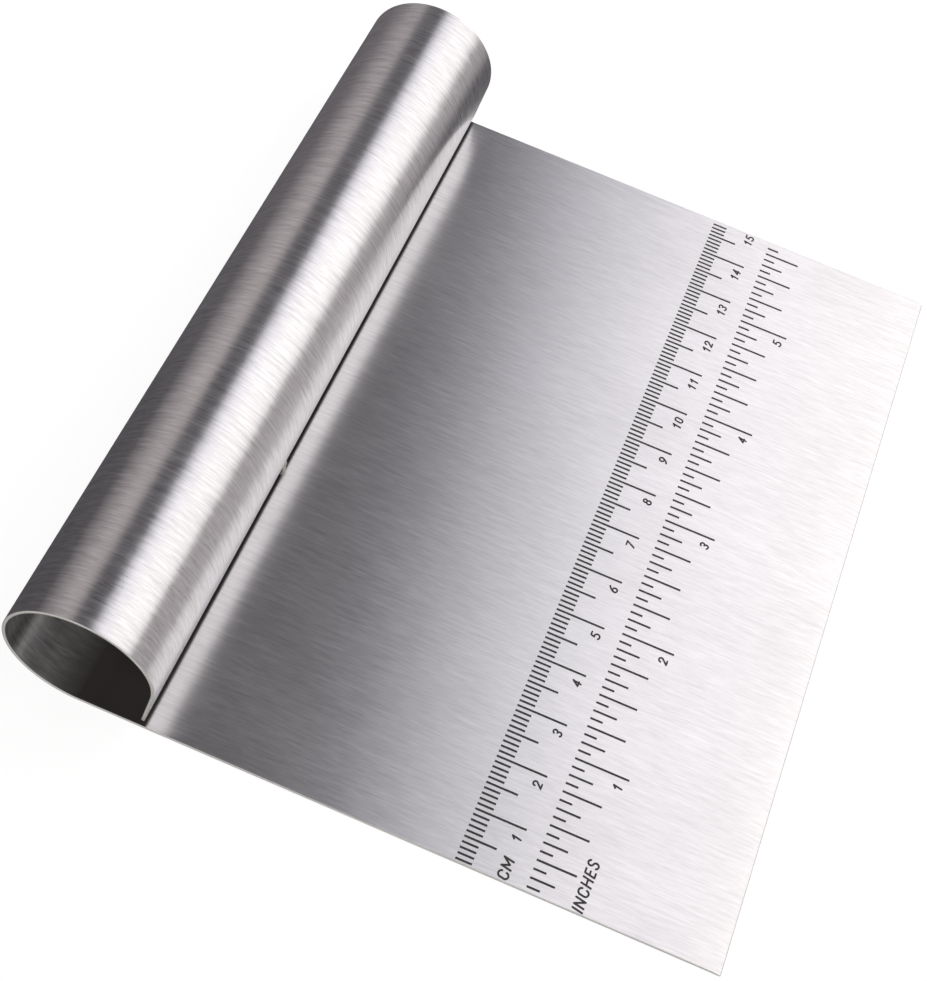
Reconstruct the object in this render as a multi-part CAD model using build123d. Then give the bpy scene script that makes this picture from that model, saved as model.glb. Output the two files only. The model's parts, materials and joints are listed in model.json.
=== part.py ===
from build123d import *
import os
from math import cos, floor, radians, sin

# Bench scraper: a flat blade whose back edge is rolled into an open tube for a handle.
# Frame: +Z up, the blade's underside on Z = 0; +X from the handle to the working edge;
# +Y along the handle and the ruler. The origin is under the middle of the bounding box.

# Driving dimensions, in millimetres and degrees.
SCRAPER_WIDTH = 148.8       # along Y: the working edge and the handle
BLADE_REACH = 97.45         # along X: from the handle's seam to the working edge
SHEET_THICKNESS = 0.6
TUBE_RADIUS = 12.75         # outside of the rolled handle
LEG_LEAN = 8.5              # how far the handle's free leg leans inward from upright
SEAM_GAP = 1.95             # between the free leg's end and the blade's top face
BEVEL_WIDTH = 1.4           # of the bevel ground along the working edge
BEVEL_DEPTH = 0.3

# The tack that bridges the gap, at one place along the handle.
TACK_FROM_START = 54.3      # from the edge where the ruler starts
TACK_LENGTH = 2.7
TACK_WIDTH = 1.1            # on the blade, across the seam
TACK_INSET = 0.1            # from the seam's line back to the middle of the tack
TACK_OVERLAP = 0.25         # how far it climbs past the end of the free leg
TACK_END_BLUNTNESS = 1.3    # width of the ellipse that its ends follow, over its own width

# The ruler's two scales. Each starts on a line along Y, and its zero lies just off the sheet.
CENTIMETRE_SCALE_TO_EDGE = 44.6
CENTIMETRE_ZERO_OVERHANG = 0.43
INCH_SCALE_TO_EDGE = 32.7
INCH_ZERO_OVERHANG = 0.7
MARK_HEIGHT = 0.05
TICK_WIDTH = 0.34
END_MARGIN = 0.3            # no tick comes nearer than this to the sheet's far end

CENTIMETRE = 10.0
ONE_MM_TICK = 2.8
FIVE_MM_TICK = 5.5
CENTIMETRE_TICK = 8.8
LAST_CENTIMETRE = 15

INCH = 25.4
SIXTEENTH_TICK = 2.2
EIGHTH_TICK = 4.2
QUARTER_TICK = 6.8
INCH_TICK = 9.5
LAST_INCH = 5

# Characters. Widths and gaps are over the height; every digit has the same width.
DIGIT_WIDTH = 0.56
CHARACTER_GAP = 0.42
SLANT = 0.2                 # how far a character's top leans, over its height
NUMERAL_HEIGHT = 1.45       # a stroke's width is outside the height
NUMERAL_STROKE = 0.29
NUMERAL_TO_TICK = 1.5       # from the end of a number to the tick that it names
CENTIMETRE_FOOT = 8.5       # from the scale's starting line to the feet of its numerals
INCH_FOOT = 8.8
LABEL_HEIGHT = 1.7
LABEL_STROKE = 0.32
LABEL_START = 0.55          # from the sheet's end to a label's first stroke
CENTIMETRE_LABEL_FOOT = 8.75
INCH_LABEL_FOOT = 9.45

# Places that follow from the dimensions above.
lean_cos = cos(radians(LEG_LEAN))
lean_sin = sin(radians(LEG_LEAN))
leg_top_z = TUBE_RADIUS * (1 - lean_sin)
leg_end_z = SHEET_THICKNESS + SEAM_GAP
leg_length = (leg_top_z - leg_end_z) / lean_cos
tube_to_seam = TUBE_RADIUS * lean_cos - leg_length * lean_sin
overall_length = BLADE_REACH + tube_to_seam + TUBE_RADIUS
edge_x = overall_length / 2
seam_x = edge_x - BLADE_REACH
tube_x = seam_x - tube_to_seam
start_y = -SCRAPER_WIDTH / 2
centimetre_zero = (edge_x - CENTIMETRE_SCALE_TO_EDGE, start_y - CENTIMETRE_ZERO_OVERHANG)
inch_zero = (edge_x - INCH_SCALE_TO_EDGE, start_y - INCH_ZERO_OVERHANG)

# Characters as single strokes, on a body one unit high. Two points are a straight stroke,
# and three are an arc from the first to the last through the middle one.
GLYPHS = {
    "0": [[(0, 0.3), (0, 0.7)], [(0, 0.7), (0.28, 1), (0.56, 0.7)],
          [(0.56, 0.7), (0.56, 0.3)], [(0.56, 0.3), (0.28, 0), (0, 0.3)]],
    "1": [[(0.32, 0), (0.32, 1)], [(0.32, 1), (0.04, 0.74)]],
    "2": [[(0, 0.74), (0.3, 1), (0.52, 0.58)], [(0.52, 0.58), (0, 0)], [(0, 0), (0.56, 0)]],
    "3": [[(0.04, 0.88), (0.48, 0.88), (0.26, 0.52)], [(0.26, 0.52), (0.5, 0.13), (0.02, 0.13)]],
    "4": [[(0.42, 0), (0.42, 1)], [(0.42, 1), (0, 0.3)], [(0, 0.3), (0.58, 0.3)]],
    "5": [[(0.52, 1), (0.1, 1)], [(0.1, 1), (0.04, 0.56)], [(0.04, 0.56), (0.56, 0.32), (0, 0.1)]],
    "6": [[(0.5, 0.97), (0.14, 0.7), (0.01, 0.3)], [(0, 0.29), (0.28, 0.57), (0.56, 0.29)],
          [(0.56, 0.29), (0.28, 0), (0, 0.29)]],
    "7": [[(0, 1), (0.56, 1)], [(0.56, 1), (0.16, 0)]],
    "8": [[(0.05, 0.77), (0.28, 1), (0.51, 0.77)], [(0.51, 0.77), (0.28, 0.54), (0.05, 0.77)],
          [(0, 0.27), (0.28, 0.54), (0.56, 0.27)], [(0.56, 0.27), (0.28, 0), (0, 0.27)]],
    "9": [[(0.55, 0.7), (0.42, 0.3), (0.06, 0.03)], [(0, 0.71), (0.28, 1), (0.56, 0.71)],
          [(0.56, 0.71), (0.28, 0.43), (0, 0.71)]],
    "C": [[(0.64, 0.74), (0.33, 1), (0, 0.65)], [(0, 0.65), (0, 0.35)],
          [(0, 0.35), (0.33, 0), (0.64, 0.26)]],
    "E": [[(0.44, 1), (0, 1)], [(0, 1), (0, 0)], [(0, 0), (0.44, 0)], [(0, 0.52), (0.4, 0.52)]],
    "H": [[(0, 0), (0, 1)], [(0.66, 0), (0.66, 1)], [(0, 0.5), (0.66, 0.5)]],
    "I": [[(0, 0), (0, 1)]],
    "M": [[(0, 0), (0, 1)], [(0, 1), (0.44, 0.25)], [(0.44, 0.25), (0.88, 1)], [(0.88, 1), (0.88, 0)]],
    "N": [[(0, 0), (0, 1)], [(0, 1), (0.66, 0)], [(0.66, 0), (0.66, 1)]],
    "S": [[(0.54, 0.84), (0.04, 0.75), (0.28, 0.51)], [(0.28, 0.51), (0.53, 0.24), (0, 0.16)]],
}


def character_width(character):
    if character.isdigit():
        return DIGIT_WIDTH
    return max(point[0] for stroke in GLYPHS[character] for point in stroke)


def make_stroke(points, width):
    """One pen stroke: a straight or curved band with round ends."""
    if len(points) == 2:
        path = Line(*points)
    else:
        path = ThreePointArc(*points)
    return SlotArc(path, height=width)


def make_text(text, foot_x, first_y, height, stroke_width):
    """Raised characters that read along +Y and stand with their feet towards +X."""
    solids = []
    advance = 0.0
    for character in text:
        outline = Sketch()
        for stroke in GLYPHS[character]:
            points = []
            for across, up in stroke:
                along_y = first_y + height * (advance + across + SLANT * (up - 0.5))
                points.append((foot_x - height * up, along_y))
            outline += make_stroke(points, stroke_width)
        solids += extrude(Pos(0, 0, SHEET_THICKNESS) * outline, amount=MARK_HEIGHT).solids()
        advance += character_width(character) + CHARACTER_GAP
    return solids


def make_ticks(zero, length, spacing, wanted):
    """One kind of tick: a bar at each whole number of spacings that the function accepts."""
    zero_x, zero_y = zero
    solids = []
    reach = SCRAPER_WIDTH + start_y - zero_y - END_MARGIN - TICK_WIDTH / 2
    for number in range(1, floor(reach / spacing) + 1):
        if wanted(number):
            place = Pos(zero_x + length / 2, zero_y + number * spacing, SHEET_THICKNESS + MARK_HEIGHT / 2)
            solids += (place * Box(length, TICK_WIDTH, MARK_HEIGHT)).solids()
    return solids


def make_numerals(zero, foot, spacing, last):
    """The numbers of one scale, each ending just before the tick that it names."""
    zero_x, zero_y = zero
    solids = []
    for number in range(1, last + 1):
        text = str(number)
        width = NUMERAL_HEIGHT * (len(text) * (DIGIT_WIDTH + CHARACTER_GAP) - CHARACTER_GAP)
        first_y = zero_y + number * spacing - NUMERAL_TO_TICK - width
        solids += make_text(text, zero_x + foot, first_y, NUMERAL_HEIGHT, NUMERAL_STROKE)
    return solids


def make_label(text, zero, foot):
    """The name of a scale's unit, at the end where the scale starts."""
    return make_text(text, zero[0] + foot, start_y + LABEL_START, LABEL_HEIGHT, LABEL_STROKE)


def make_formed_sheet():
    """Blade, rolled handle and free leg: one strip of sheet with its section extruded along Y."""
    inner_radius = TUBE_RADIUS - SHEET_THICKNESS
    centre = (tube_x, TUBE_RADIUS)
    sweep = 270 + LEG_LEAN
    outer_arc = CenterArc(centre, TUBE_RADIUS, 270, -sweep)
    inner_arc = CenterArc(centre, inner_radius, 270, -sweep)
    leg_end_outer = (seam_x, leg_end_z)
    leg_end_inner = (seam_x - SHEET_THICKNESS * lean_cos, leg_end_z + SHEET_THICKNESS * lean_sin)
    leg_end = Polyline(outer_arc @ 1, leg_end_outer, leg_end_inner, inner_arc @ 1)
    blade = Polyline(
        inner_arc @ 0,
        (edge_x - BEVEL_WIDTH, SHEET_THICKNESS),
        (edge_x, SHEET_THICKNESS - BEVEL_DEPTH),
        (edge_x, 0),
        outer_arc @ 0,
    )
    section = make_face([*outer_arc.edges(), *leg_end.edges(), *inner_arc.edges(), *blade.edges()])
    return extrude(Plane.XZ * section, amount=SCRAPER_WIDTH / 2, both=True)


def make_seam_tack_weld(sheet):
    """A bead that stands on the blade and bridges the gap to the free leg's end.

    Seen along the seam it is the upper half of a tall ellipse. From above it is a broader ellipse
    with its two long sides cut straight.
    """
    half_width = TACK_WIDTH / 2
    height = SEAM_GAP + TACK_OVERLAP
    along_seam = extrude(Plane.XZ * Ellipse(half_width, height), amount=TACK_LENGTH / 2, both=True)
    from_above = extrude(Ellipse(TACK_END_BLUNTNESS * half_width, TACK_LENGTH / 2), amount=height)
    place = Pos(seam_x - TACK_INSET, start_y + TACK_FROM_START, SHEET_THICKNESS)
    return place * (along_seam & from_above) - sheet


formed_sheet = make_formed_sheet()
pieces = {
    "formed_sheet": formed_sheet.solids(),
    "seam_tack_weld": make_seam_tack_weld(formed_sheet).solids(),
    "millimetre_ticks": make_ticks(centimetre_zero, ONE_MM_TICK, CENTIMETRE / 10, lambda n: n % 5),
    "five_millimetre_ticks": make_ticks(centimetre_zero, FIVE_MM_TICK, CENTIMETRE / 2, lambda n: n % 2),
    "centimetre_ticks": make_ticks(centimetre_zero, CENTIMETRE_TICK, CENTIMETRE, lambda n: True),
    "centimetre_numerals": make_numerals(centimetre_zero, CENTIMETRE_FOOT, CENTIMETRE, LAST_CENTIMETRE),
    "centimetre_label": make_label("CM", centimetre_zero, CENTIMETRE_LABEL_FOOT),
    "sixteenth_inch_ticks": make_ticks(inch_zero, SIXTEENTH_TICK, INCH / 16, lambda n: n % 2),
    "eighth_inch_ticks": make_ticks(inch_zero, EIGHTH_TICK, INCH / 8, lambda n: n % 2),
    "quarter_inch_ticks": make_ticks(inch_zero, QUARTER_TICK, INCH / 4, lambda n: n % 4),
    "inch_ticks": make_ticks(inch_zero, INCH_TICK, INCH, lambda n: True),
    "inch_numerals": make_numerals(inch_zero, INCH_FOOT, INCH, LAST_INCH),
    "inch_label": make_label("INCHES", inch_zero, INCH_LABEL_FOOT),
}

os.makedirs("parts", exist_ok=True)
for name, solids in pieces.items():
    export_step(Compound(children=solids), f"parts/{name}.step")
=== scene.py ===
import json
from math import cos, pi, radians, sin

import bmesh
import bpy
from mathutils import Matrix, Quaternion, Vector, noise


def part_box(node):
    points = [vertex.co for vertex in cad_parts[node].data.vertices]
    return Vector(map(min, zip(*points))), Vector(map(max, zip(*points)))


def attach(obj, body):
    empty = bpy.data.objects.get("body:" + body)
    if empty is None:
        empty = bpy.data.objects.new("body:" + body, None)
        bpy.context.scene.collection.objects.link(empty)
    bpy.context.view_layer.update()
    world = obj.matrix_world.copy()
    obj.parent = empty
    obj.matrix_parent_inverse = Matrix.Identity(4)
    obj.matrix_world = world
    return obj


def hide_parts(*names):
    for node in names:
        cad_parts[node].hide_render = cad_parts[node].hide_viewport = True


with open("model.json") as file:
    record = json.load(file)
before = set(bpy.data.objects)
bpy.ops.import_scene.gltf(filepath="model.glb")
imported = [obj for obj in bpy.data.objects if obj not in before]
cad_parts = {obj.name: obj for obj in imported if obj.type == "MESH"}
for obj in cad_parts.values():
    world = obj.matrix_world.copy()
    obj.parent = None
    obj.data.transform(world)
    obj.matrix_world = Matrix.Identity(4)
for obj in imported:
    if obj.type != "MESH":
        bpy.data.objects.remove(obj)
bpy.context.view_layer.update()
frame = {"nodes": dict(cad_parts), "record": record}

# Bench scraper: one sheet of brushed stainless steel, a flat blade rolled into an open tube.
# Frame: +Z up, the blade's underside on Z = 0; +X from the handle to the working edge;
# +Y along the handle and the ruler. Lengths are in metres, and angles in degrees.

MM = 0.001

# Sizes that the frame gives.
sheet_low, sheet_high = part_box("formed_sheet")
weld_low, weld_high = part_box("seam_tack_weld")
bore = next(m for m in frame["record"]["mounts"] if m["name"] == "handle_bore")
tube_x, _, tube_radius = bore["pos_m"]
thickness = tube_radius - bore["dims"]["r_mm"] * MM
edge_x = sheet_high.x
half_width = sheet_high.y

# Sizes of the formed sheet that the frame doesn't name, the same as in the CAD model.
LEG_LEAN = 8.5
SEAM_GAP = 1.95 * MM
BEVEL_WIDTH = 1.4 * MM
BEVEL_DEPTH = 0.3 * MM

# Fineness of the sheet's mesh.
ARC_STEP = 1.5              # round the handle
RING_STEP = 6 * MM          # along the handle and across the blade
EDGE_ROUNDING = 0.13 * MM
SHARP_ANGLE = 45            # an edge that turns by more than this is a cut edge
FLAT_NORMAL = 0.9           # a face whose normal's z is less belongs to a cut edge

# Noise mostly stays within this much of 0.5.
NOISE_SPREAD = 0.2

# The brushed finish. A grain's spots are (along the grain, across it, through the sheet) large.
COARSE_GRAIN = (7 * MM, 0.6 * MM, 3 * MM)
FINE_GRAIN = (3 * MM, 0.25 * MM, 1 * MM)
CLOUDS = (40 * MM, 25 * MM, 25 * MM)
GRAIN_HARSHNESS = 0.6
GRAIN_COLOURS = ((0.60, 0.59, 0.60, 1), (0.89, 0.88, 0.89, 1))
GRAIN_ROUGHNESS = (0.28, 0.36)
CLOUD_ROUGHNESS = 0.02      # how far the clouds raise and lower the roughness
GRAIN_DEPTH = 0.004 * MM
BLADE_CONTRAST = 0.42       # of the grain, and on the handle, where rolling opened it up
HANDLE_CONTRAST = 0.9
CONTRAST_FADE = 2 * MM      # on both sides of the line where the handle starts

# Painted shade inside the handle: a dark colour, with more roughness, on the bottom, from just before the
# seam, standing in for the shade in the tube and in the seam's gap.
PAINTED_SHADE_COLOUR = (0.15, 0.137, 0.132, 1)
SHADE_ZONE_ROUGHNESS = 0.08       # over the brushed finish's
SHADE_START = 0.45 * MM      # how far before the seam it starts to show
SHADE_REACH = 9 * MM         # how far up the wall it fades out
SHADE_DEPTHS = (0.5, 0.8)    # shares of the thickness between which it starts to show

lean = radians(LEG_LEAN)
arc_sweep = radians(270) + lean
blade_run = edge_x - tube_x
arc_run = tube_radius * arc_sweep
leg_length = (tube_radius * (1 - sin(lean)) - thickness - SEAM_GAP) / cos(lean)
seam_x = tube_x + tube_radius * cos(lean) - leg_length * sin(lean)


def add_node(tree, kind, inputs=None, **settings):
    """A shader node with its settings and its inputs, each a value or another node's output."""
    node = tree.nodes.new(kind)
    for name, value in settings.items():
        setattr(node, name, value)
    for name, value in (inputs or {}).items():
        if isinstance(value, bpy.types.NodeSocket):
            tree.links.new(value, node.inputs[name])
        else:
            node.inputs[name].default_value = value
    return node


def new_material(name):
    """An empty material, with its node tree."""
    material = bpy.data.materials.new(name)
    material.use_nodes = True
    material.node_tree.nodes.clear()
    return material, material.node_tree


def stretched_noise(tree, coordinates, size, detail=2.0, harshness=0.5):
    """Noise whose spots are size = (along the grain, across it, through the sheet) large.

    Each finer layer, up to detail of them, keeps a share of the last one's strength: its harshness.
    """
    scale = [1 / length for length in size]
    scaled = add_node(tree, "ShaderNodeVectorMath", {0: coordinates, 1: scale}, operation="MULTIPLY")
    inputs = {"Vector": scaled.outputs[0], "Scale": 1.0, "Detail": detail, "Roughness": harshness}
    return add_node(tree, "ShaderNodeTexNoise", inputs).outputs["Fac"]


def ramp(tree, value, start, end, low=0.0, high=1.0):
    """A value that goes from low to high while another goes from start to end."""
    inputs = {"Value": value, "From Min": start, "From Max": end, "To Min": low, "To Max": high}
    return add_node(tree, "ShaderNodeMapRange", inputs).outputs["Result"]


def remap(tree, noise_value, low, high):
    """Noise, which stays near 0.5, spread over a range from low to high."""
    return ramp(tree, noise_value, 0.5 - NOISE_SPREAD, 0.5 + NOISE_SPREAD, low, high)


def arithmetic(tree, operation, first, second):
    """The result of one sum on two values."""
    return add_node(tree, "ShaderNodeMath", {0: first, 1: second}, operation=operation).outputs[0]


def mix_colours(tree, share, first, second):
    """A colour that goes from the first to the second as the share goes from 0 to 1."""
    inputs = {"Factor": share, "A": first, "B": second}
    return add_node(tree, "ShaderNodeMix", inputs, data_type="RGBA").outputs[2]


def finish_material(tree, **inputs):
    """Ends a material with a Principled shader, whose inputs are named with _ for each space."""
    named = {name.replace("_", " "): value for name, value in inputs.items()}
    shader = add_node(tree, "ShaderNodeBsdfPrincipled", named)
    add_node(tree, "ShaderNodeOutputMaterial", {"Surface": shader.outputs[0]})


def bump(tree, height, strength, distance):
    """A normal that a height between 0 and 1 tilts."""
    inputs = {"Strength": strength, "Distance": distance, "Height": height}
    return add_node(tree, "ShaderNodeBump", inputs).outputs[0]


def blank_coordinates(tree):
    """Where a point lay in the flat blank: (s, y, depth), as bend takes them."""
    return add_node(tree, "ShaderNodeAttribute", attribute_name="blank").outputs["Vector"]


def share_of_painted_shade(tree, blank):
    """How much painted shade shows: all of it on the handle's bottom, inside, fading in just before the
    seam.
    """
    place = add_node(tree, "ShaderNodeSeparateXYZ", {"Vector": blank}).outputs
    seam_s = edge_x - seam_x
    inner_face = ramp(tree, place["Z"], *(share * thickness for share in SHADE_DEPTHS))
    # The painted shade of the seam's gap starts a little before the seam line.
    past_seam = ramp(tree, place["X"], seam_s - SHADE_START, seam_s)
    up_the_wall = ramp(tree, place["X"], blade_run, blade_run + SHADE_REACH, 1.0, 0.0)
    return arithmetic(tree, "MULTIPLY", inner_face, arithmetic(tree, "MULTIPLY", past_seam, up_the_wall))


def brush_lines(tree, blank):
    """The grain's height, about 0.5 in the middle, with more contrast on the handle."""
    coarse = stretched_noise(tree, blank, COARSE_GRAIN, 4.0, GRAIN_HARSHNESS)
    fine = stretched_noise(tree, blank, FINE_GRAIN, 3.0, GRAIN_HARSHNESS)
    s = add_node(tree, "ShaderNodeSeparateXYZ", {"Vector": blank}).outputs["X"]
    fade = (blade_run - CONTRAST_FADE, blade_run + CONTRAST_FADE)
    contrast = ramp(tree, s, *fade, BLADE_CONTRAST, HANDLE_CONTRAST)
    swing = arithmetic(tree, "SUBTRACT", arithmetic(tree, "ADD", coarse, fine), 1.0)
    return arithmetic(tree, "ADD", arithmetic(tree, "MULTIPLY", swing, contrast), 0.5)


def make_brushed_steel():
    """Stainless sheet brushed along its length before it was rolled, with shade painted dark inside the
    tube and along the seam.
    """
    material, tree = new_material("brushed_steel")
    blank = blank_coordinates(tree)
    grain = brush_lines(tree, blank)
    painted_shade = share_of_painted_shade(tree, blank)
    clouds = stretched_noise(tree, blank, CLOUDS)
    brushed = mix_colours(tree, remap(tree, grain, 0.0, 1.0), *GRAIN_COLOURS)
    cloudiness = remap(tree, clouds, -CLOUD_ROUGHNESS, CLOUD_ROUGHNESS)
    extra = arithmetic(tree, "ADD", cloudiness, arithmetic(tree, "MULTIPLY", painted_shade, SHADE_ZONE_ROUGHNESS))
    finish_material(
        tree,
        # Painted shade darkens the colour inside the tube and along the seam.
        Base_Color=mix_colours(tree, painted_shade, brushed, PAINTED_SHADE_COLOUR),
        Metallic=1.0,
        Roughness=arithmetic(tree, "ADD", remap(tree, grain, *GRAIN_ROUGHNESS), extra),
        Anisotropic=0.85,
        Tangent=add_node(tree, "ShaderNodeTangent", direction_type="UV_MAP", uv_map="grain").outputs[0],
        Normal=bump(tree, grain, 1.0, GRAIN_DEPTH),
    )
    return material


def make_mottled(tree, place, spot, colours, roughness, metallic, strength, distance):
    """A finish whose colour and roughness go from the first to the second value in random spots."""
    mottling = stretched_noise(tree, place, spot, detail=3.0)
    finish_material(
        tree,
        Base_Color=mix_colours(tree, remap(tree, mottling, 0.0, 1.0), *colours),
        Metallic=metallic,
        Roughness=remap(tree, mottling, *roughness),
        Normal=bump(tree, mottling, strength, distance),
    )


def make_cut_edge():
    """The sheet's cut edges, dressed to a satin finish that isn't brushed any one way."""
    material, tree = new_material("cut_edge")
    spot = (0.4 * MM, 0.4 * MM, 0.15 * MM)
    colours = ((0.66, 0.65, 0.65, 1), (0.86, 0.85, 0.85, 1))
    make_mottled(tree, blank_coordinates(tree), spot, colours, (0.38, 0.5), 1.0, 0.6, 0.01 * MM)
    return material


def make_black_marking():
    """Electro-etched black oxide: matt, slightly uneven, thinner in places."""
    material, tree = new_material("black_marking")
    place = add_node(tree, "ShaderNodeTexCoord").outputs["Object"]
    colours = ((0.012, 0.012, 0.013, 1), (0.04, 0.038, 0.038, 1))
    make_mottled(tree, place, (0.25 * MM,) * 3, colours, (0.4, 0.6), 0.0, 0.6, 0.01 * MM)
    return material


def make_weld_metal():
    """Bare weld metal with a straw and grey heat tint."""
    material, tree = new_material("weld_metal")
    place = add_node(tree, "ShaderNodeTexCoord").outputs["Object"]
    colours = ((0.25, 0.25, 0.23, 1), (0.48, 0.46, 0.41, 1))
    make_mottled(tree, place, (0.4 * MM,) * 3, colours, (0.32, 0.5), 1.0, 0.5, 0.03 * MM)
    return material


def top_of_blank(s):
    """Depth of the blank's upper face, which is ground down towards the working edge."""
    return thickness - BEVEL_DEPTH * max(0.0, 1 - s / BEVEL_WIDTH)


def bend(s, y, depth):
    """Where a point of the flat blank lies once it is rolled.

    s runs along the outer face from the working edge, and depth into the sheet.
    """
    past_blade = s - blade_run
    turn = min(max(past_blade / tube_radius, 0.0), arc_sweep)
    straight = past_blade - turn * tube_radius
    outward = Vector((-sin(turn), 0, -cos(turn)))
    along = Vector((-cos(turn), 0, sin(turn)))
    return Vector((tube_x, y, tube_radius)) + outward * (tube_radius - depth) + along * straight


def even_stations(start, end, step):
    """Numbers from start to end, evenly spaced by about a step."""
    count = max(1, round((end - start) / step))
    return [start + (end - start) * i / count for i in range(count + 1)]


def make_blank(stations, rings_at):
    """The flat sheet as a closed grid of quads, with its cut edges rounded a little."""
    blank = bmesh.new()
    section = [(s, 0.0) for s in stations] + [(s, top_of_blank(s)) for s in reversed(stations)]
    rings = [[blank.verts.new((s, y, depth)) for s, depth in section] for y in rings_at]
    for ring, following in zip(rings, rings[1:]):
        for i in range(len(section)):
            blank.faces.new((ring[i - 1], ring[i], following[i], following[i - 1]))
    for ring in (rings[0], rings[-1]):
        for i in range(len(stations) - 1):
            blank.faces.new((ring[i], ring[i + 1], ring[-2 - i], ring[-1 - i]))
    bmesh.ops.recalc_face_normals(blank, faces=blank.faces)
    for edge in blank.edges:
        edge.smooth = not all(v.co.x == BEVEL_WIDTH and v.co.z == thickness for v in edge.verts)
    cut_edges = [edge for edge in blank.edges if edge.calc_face_angle() > radians(SHARP_ANGLE)]
    bmesh.ops.bevel(
        blank, geom=cut_edges, offset=EDGE_ROUNDING, segments=3, profile=0.5, affect="EDGES"
    )
    for face in blank.faces:
        face.material_index = 0 if abs(face.normal.z) > FLAT_NORMAL else 1
    return blank


def make_formed_sheet(brushed, cut_edge):
    """The whole sheet: a flat blank with its grain marked on it, rolled up."""
    stations = even_stations(0, BEVEL_WIDTH, BEVEL_WIDTH)
    stations += even_stations(BEVEL_WIDTH, blade_run, RING_STEP)[1:]
    stations += even_stations(blade_run, blade_run + arc_run, tube_radius * radians(ARC_STEP))[1:]
    stations += even_stations(blade_run + arc_run, blade_run + arc_run + leg_length, RING_STEP / 3)[1:]
    blank = make_blank(stations, even_stations(-half_width, half_width, RING_STEP))
    grain = blank.loops.layers.uv.new("grain")
    unrolled = blank.verts.layers.float_vector.new("blank")
    for face in blank.faces:
        face.smooth = True
        axes = [abs(component) for component in face.normal]
        across, along = {0: (2, 1), 1: (2, 0), 2: (1, 0)}[axes.index(max(axes))]
        for loop in face.loops:
            loop[grain].uv = (loop.vert.co[across] / MM, loop.vert.co[along] / MM)
    for vertex in blank.verts:
        vertex[unrolled] = vertex.co
        vertex.co = bend(*vertex.co)
    bmesh.ops.recalc_face_normals(blank, faces=blank.faces)
    mesh = bpy.data.meshes.new("brushed_formed_sheet")
    blank.to_mesh(mesh)
    blank.free()
    mesh.materials.append(brushed)
    mesh.materials.append(cut_edge)
    sheet = bpy.data.objects.new("brushed_formed_sheet", mesh)
    bpy.context.scene.collection.objects.link(sheet)
    weighted = sheet.modifiers.new("even_shading", "WEIGHTED_NORMAL")
    weighted.keep_sharp = True
    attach(sheet, "root")
    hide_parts("formed_sheet")


# The tack bead. Shares are of its half-width or half-length at the foot.
BEAD_HALF_LENGTH = 0.95 * MM
BEAD_HALF_WIDTH = 0.5 * MM
BEAD_SHIFT = -0.4 * MM      # from the middle of the CAD tack, along Y
BEAD_SINK = 0.03 * MM       # into the blade
BEAD_WAIST = 0.72
BEAD_RIPPLE = 0.035
BEAD_RIPPLES = 5.5
BEAD_LUMPS = 0.09
LUMPS_ROUND = 1.3           # how fast the lumps change round the bead, and up it
LUMPS_UP = 2.5
BEAD_POINTS = 40
BEAD_RINGS = 28


def make_tack_bead(material):
    """The tack weld: a rippled bead, as wide at its top as at its foot, with a narrower waist."""
    middle = (weld_low + weld_high) / 2
    foot_z = thickness - BEAD_SINK
    bead = bmesh.new()
    rings = []
    for i in range(BEAD_RINGS):
        rise = i / (BEAD_RINGS - 1)
        ripple = BEAD_RIPPLE * sin(rise * BEAD_RIPPLES * 2 * pi)
        swell = BEAD_WAIST + (1 - BEAD_WAIST) * (2 * rise - 1) ** 2 + ripple
        ring = []
        for j in range(BEAD_POINTS):
            turn = 2 * pi * j / BEAD_POINTS
            spot = Vector((LUMPS_ROUND * cos(turn), LUMPS_ROUND * sin(turn), LUMPS_UP * rise))
            lump = 1 + BEAD_LUMPS * noise.noise(spot)
            x = middle.x + BEAD_HALF_WIDTH * swell * lump * cos(turn)
            y = middle.y + BEAD_SHIFT + BEAD_HALF_LENGTH * swell * lump * sin(turn)
            ring.append(bead.verts.new((x, y, foot_z + rise * (weld_high.z - foot_z))))
        rings.append(ring)
    for ring, upper in zip(rings, rings[1:]):
        for j in range(BEAD_POINTS):
            bead.faces.new((ring[j - 1], ring[j], upper[j], upper[j - 1]))
    bead.faces.new(rings[-1])
    bead.faces.new(reversed(rings[0]))
    for face in bead.faces:
        face.smooth = len(face.verts) == 4
    bmesh.ops.recalc_face_normals(bead, faces=bead.faces)
    mesh = bpy.data.meshes.new("rippled_tack_bead")
    bead.to_mesh(mesh)
    bead.free()
    mesh.materials.append(material)
    piece = bpy.data.objects.new("rippled_tack_bead", mesh)
    bpy.context.scene.collection.objects.link(piece)
    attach(piece, "root")
    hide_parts("seam_tack_weld")


# The camera stands where the photographer did.
CAMERA_AIM = (-6.82 * MM, -9.36 * MM, 0)
CAMERA_AZIMUTH = 6.05
CAMERA_ELEVATION = 55.80
CAMERA_ROLL = 17.67
CAMERA_DISTANCE = 319.12 * MM
CAMERA_LENS = 66.44


def make_camera():
    """The camera, which looks at its aim and is rolled about its line of sight."""
    azimuth = radians(CAMERA_AZIMUTH)
    elevation = radians(CAMERA_ELEVATION)
    back = Vector((sin(azimuth) * cos(elevation), -cos(azimuth) * cos(elevation), sin(elevation)))
    camera = bpy.data.objects.new("camera", bpy.data.cameras.new("camera"))
    camera.data.lens = CAMERA_LENS
    camera.data.clip_start = 0.01
    camera.location = Vector(CAMERA_AIM) + CAMERA_DISTANCE * back
    camera.rotation_mode = "QUATERNION"
    level = (-back).to_track_quat("-Z", "Y")
    camera.rotation_quaternion = level @ Quaternion((0, 0, 1), radians(CAMERA_ROLL))
    bpy.context.scene.collection.objects.link(camera)
    bpy.context.scene.camera = camera


# How far the studio lights' far ends lean to the left, per metre of y.
LIGHT_LEAN = (-0.164, 0)


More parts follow.
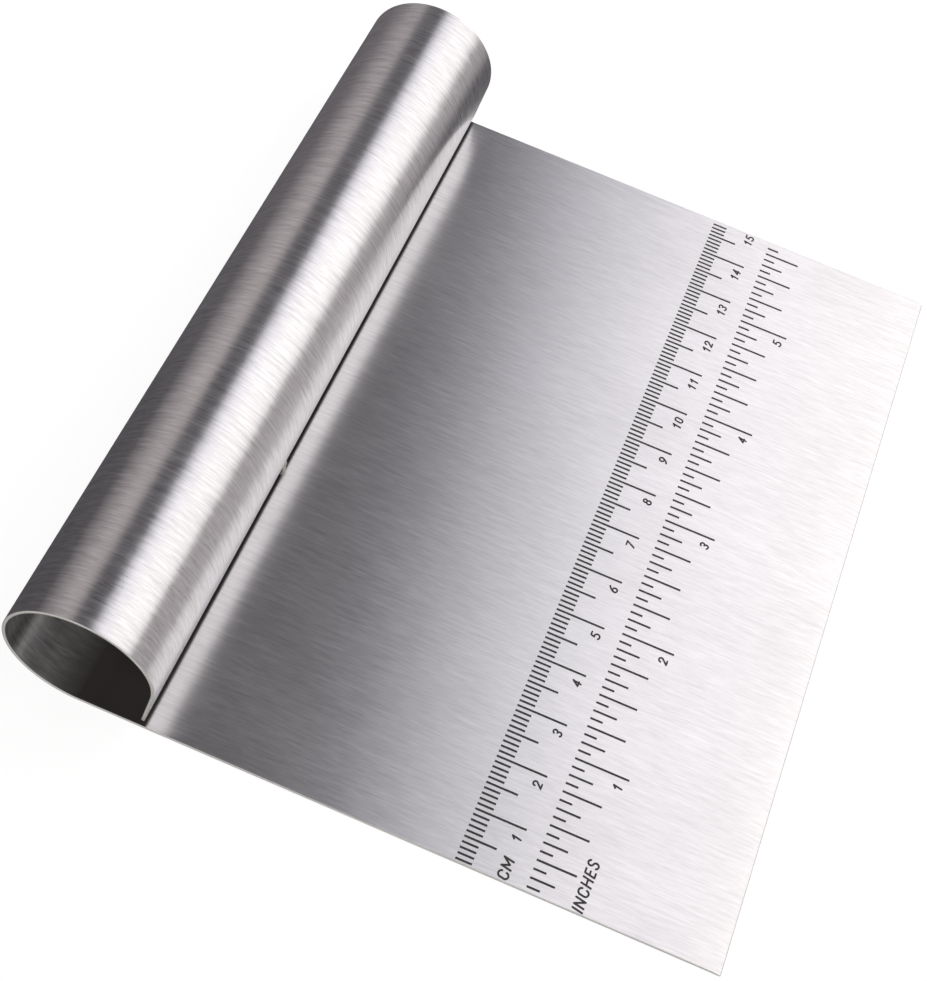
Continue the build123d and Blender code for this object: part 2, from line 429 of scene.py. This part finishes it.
def make_softbox(name, start, end, y_range, radiance, colour=(1, 1, 1), lean=LIGHT_LEAN):
    """A rectangular light whose section at y = 0 runs from start to end, both (x, z).

    Seen with +X to the right and +Z up, it shines to the right of the way from start to end.
    Its section moves by lean, (x, z), for each metre of y.
    """
    along = Vector((lean[0], 1, lean[1]))
    across = Vector((end[0] - start[0], 0, end[1] - start[1]))
    across -= across.project(along)
    middle_y = sum(y_range) / 2
    middle = Vector(((start[0] + end[0]) / 2, 0, (start[1] + end[1]) / 2)) + middle_y * along
    data = bpy.data.lights.new(name, "AREA")
    data.shape = "RECTANGLE"
    data.size = across.length
    data.size_y = (y_range[1] - y_range[0]) * along.length
    data.energy = radiance * pi * data.size * data.size_y
    data.color = colour
    light = bpy.data.objects.new(name, data)
    axes = (across.normalized(), along.normalized(), across.cross(along).normalized())
    light.matrix_world = Matrix.Translation(middle) @ Matrix(axes).transposed().to_4x4()
    light.visible_camera = False
    bpy.context.scene.collection.objects.link(light)


def make_lights():
    """One large softbox overhead on the right, and dim panels that shape the handle's other side."""
    softbox_y = (-0.09, 0.77)
    make_softbox("softbox_edge", (0.003, 0.327), (0.050, 0.321), softbox_y, 0.74, (0.95, 0.95, 1.02))
    make_softbox("main_softbox", (0.050, 0.321), (0.125, 0.294), softbox_y, 1.22, (1.0, 0.975, 1.0))
    make_softbox("warm_softbox", (0.125, 0.294), (0.445, 0.181), softbox_y, 1.37, (1.0, 0.98, 0.96))
    # The panels overlap, each narrower than the last, so that their light fades towards the edges.
    panel_y = (-0.05, 0.45)
    panel_radiance = 0.108
    panel_colour = (1, 0.91, 0.89)
    panel_lean = (-0.25, -0.27)
    for name, start, end in (
        ("left_panel_a", (-0.43, 0.16), (-0.15, 0.45)),
        ("left_panel_b", (-0.39, 0.22), (-0.165, 0.44)),
        ("left_panel_c", (-0.35, 0.28), (-0.18, 0.43)),
        ("left_panel_d", (-0.31, 0.33), (-0.20, 0.42)),
    ):
        make_softbox(name, start, end, panel_y, panel_radiance, panel_colour, panel_lean)
    make_softbox("left_wall", (-0.5, -0.35), (-0.5, 0.25), (0.35, 1.2), 0.06, (1, 0.84, 0.84), (0, 0))
    make_softbox("right_wall", (0.9, 0.28), (0.9, -0.15), (-0.3, 1.2), 0.35, (1, 0.92, 0.91))


def make_world():
    """A dim room, a little lighter towards +Y, and bright towards -Y, on the camera's side."""
    world = bpy.data.worlds.new("dim_room")
    world.use_nodes = True
    world.node_tree.nodes.clear()
    tree = world.node_tree
    direction = add_node(tree, "ShaderNodeTexCoord").outputs["Generated"]
    axes = add_node(tree, "ShaderNodeSeparateXYZ", {"Vector": direction}).outputs
    far_share = ramp(tree, axes["Y"], 0.2, 0.9)
    near_share = ramp(tree, axes["Y"], -0.2, -0.6)
    room = mix_colours(tree, far_share, (0.060, 0.054, 0.060, 1), (0.17, 0.165, 0.18, 1))
    colour = mix_colours(tree, near_share, room, (0.78, 0.77, 0.73, 1))
    background = add_node(tree, "ShaderNodeBackground", {"Color": colour})
    add_node(tree, "ShaderNodeOutputWorld", {"Surface": background.outputs[0]})
    bpy.context.scene.world = world


FLOOR_HALF_WIDTH = 4.0
FLOOR_DROP = 0.1 * MM


def make_floor():
    """A plain pale table, lit from inside so that shadows on it stay faint. Gloss doesn't see it."""
    material, tree = new_material("pale_floor")
    finish_material(
        tree,
        Base_Color=(0.2, 0.2, 0.2, 1),
        Roughness=0.9,
        Emission_Color=(1, 1, 1, 1),
        Emission_Strength=0.9,
    )
    corners = [(-1, -1), (1, -1), (1, 1), (-1, 1)]
    mesh = bpy.data.meshes.new("floor")
    vertices = [(x * FLOOR_HALF_WIDTH, y * FLOOR_HALF_WIDTH, -FLOOR_DROP) for x, y in corners]
    mesh.from_pydata(vertices, [], [(0, 1, 2, 3)])
    mesh.materials.append(material)
    floor = bpy.data.objects.new("floor", mesh)
    floor.visible_glossy = False
    bpy.context.scene.collection.objects.link(floor)


# The backdrop curves up from the floor, then rises straight.
BACKDROP_RADIUS = 0.9 * FLOOR_HALF_WIDTH
BACKDROP_SIDES = 96
BACKDROP_GLOW = 0.955       # as bright as the floor looks far away
CURVE_RADIUS = 0.5
CURVE_STEPS = 12
WALL_STEPS = 4
WALL_STEP = 0.8


def make_backdrop():
    """A pale wall all round, far away, that only the camera sees."""
    material, tree = new_material("pale_wall")
    glow = add_node(tree, "ShaderNodeEmission", {"Color": (1, 1, 1, 1), "Strength": BACKDROP_GLOW})
    add_node(tree, "ShaderNodeOutputMaterial", {"Surface": glow.outputs[0]})
    wall = bmesh.new()
    rings = []
    turns = [2 * pi * j / BACKDROP_SIDES for j in range(BACKDROP_SIDES)]
    for i in range(CURVE_STEPS + WALL_STEPS + 1):
        rise = radians(90) * min(i / CURVE_STEPS, 1)
        radius = BACKDROP_RADIUS + CURVE_RADIUS * sin(rise)
        height = CURVE_RADIUS * (1 - cos(rise)) + WALL_STEP * max(0, i - CURVE_STEPS) - FLOOR_DROP
        rings.append([wall.verts.new((radius * cos(turn), radius * sin(turn), height)) for turn in turns])
    for ring, upper in zip(rings, rings[1:]):
        for j in range(BACKDROP_SIDES):
            wall.faces.new((ring[j - 1], ring[j], upper[j], upper[j - 1]))
    mesh = bpy.data.meshes.new("backdrop")
    wall.to_mesh(mesh)
    wall.free()
    mesh.materials.append(material)
    backdrop = bpy.data.objects.new("backdrop", mesh)
    backdrop.visible_glossy = False
    backdrop.visible_diffuse = False
    backdrop.visible_shadow = False
    bpy.context.scene.collection.objects.link(backdrop)


def finish_cad_node(name, material):
    """Gives a CAD node that stays its finish."""
    node = frame["nodes"][name]
    node.data.materials.clear()
    node.data.materials.append(material)


make_camera()
make_formed_sheet(make_brushed_steel(), make_cut_edge())
make_tack_bead(make_weld_metal())
black = make_black_marking()
for name in frame["nodes"]:
    if name not in ("formed_sheet", "seam_tack_weld"):
        finish_cad_node(name, black)
make_world()
make_lights()
make_floor()
make_backdrop()
bpy.context.scene.view_settings.view_transform = "Standard"
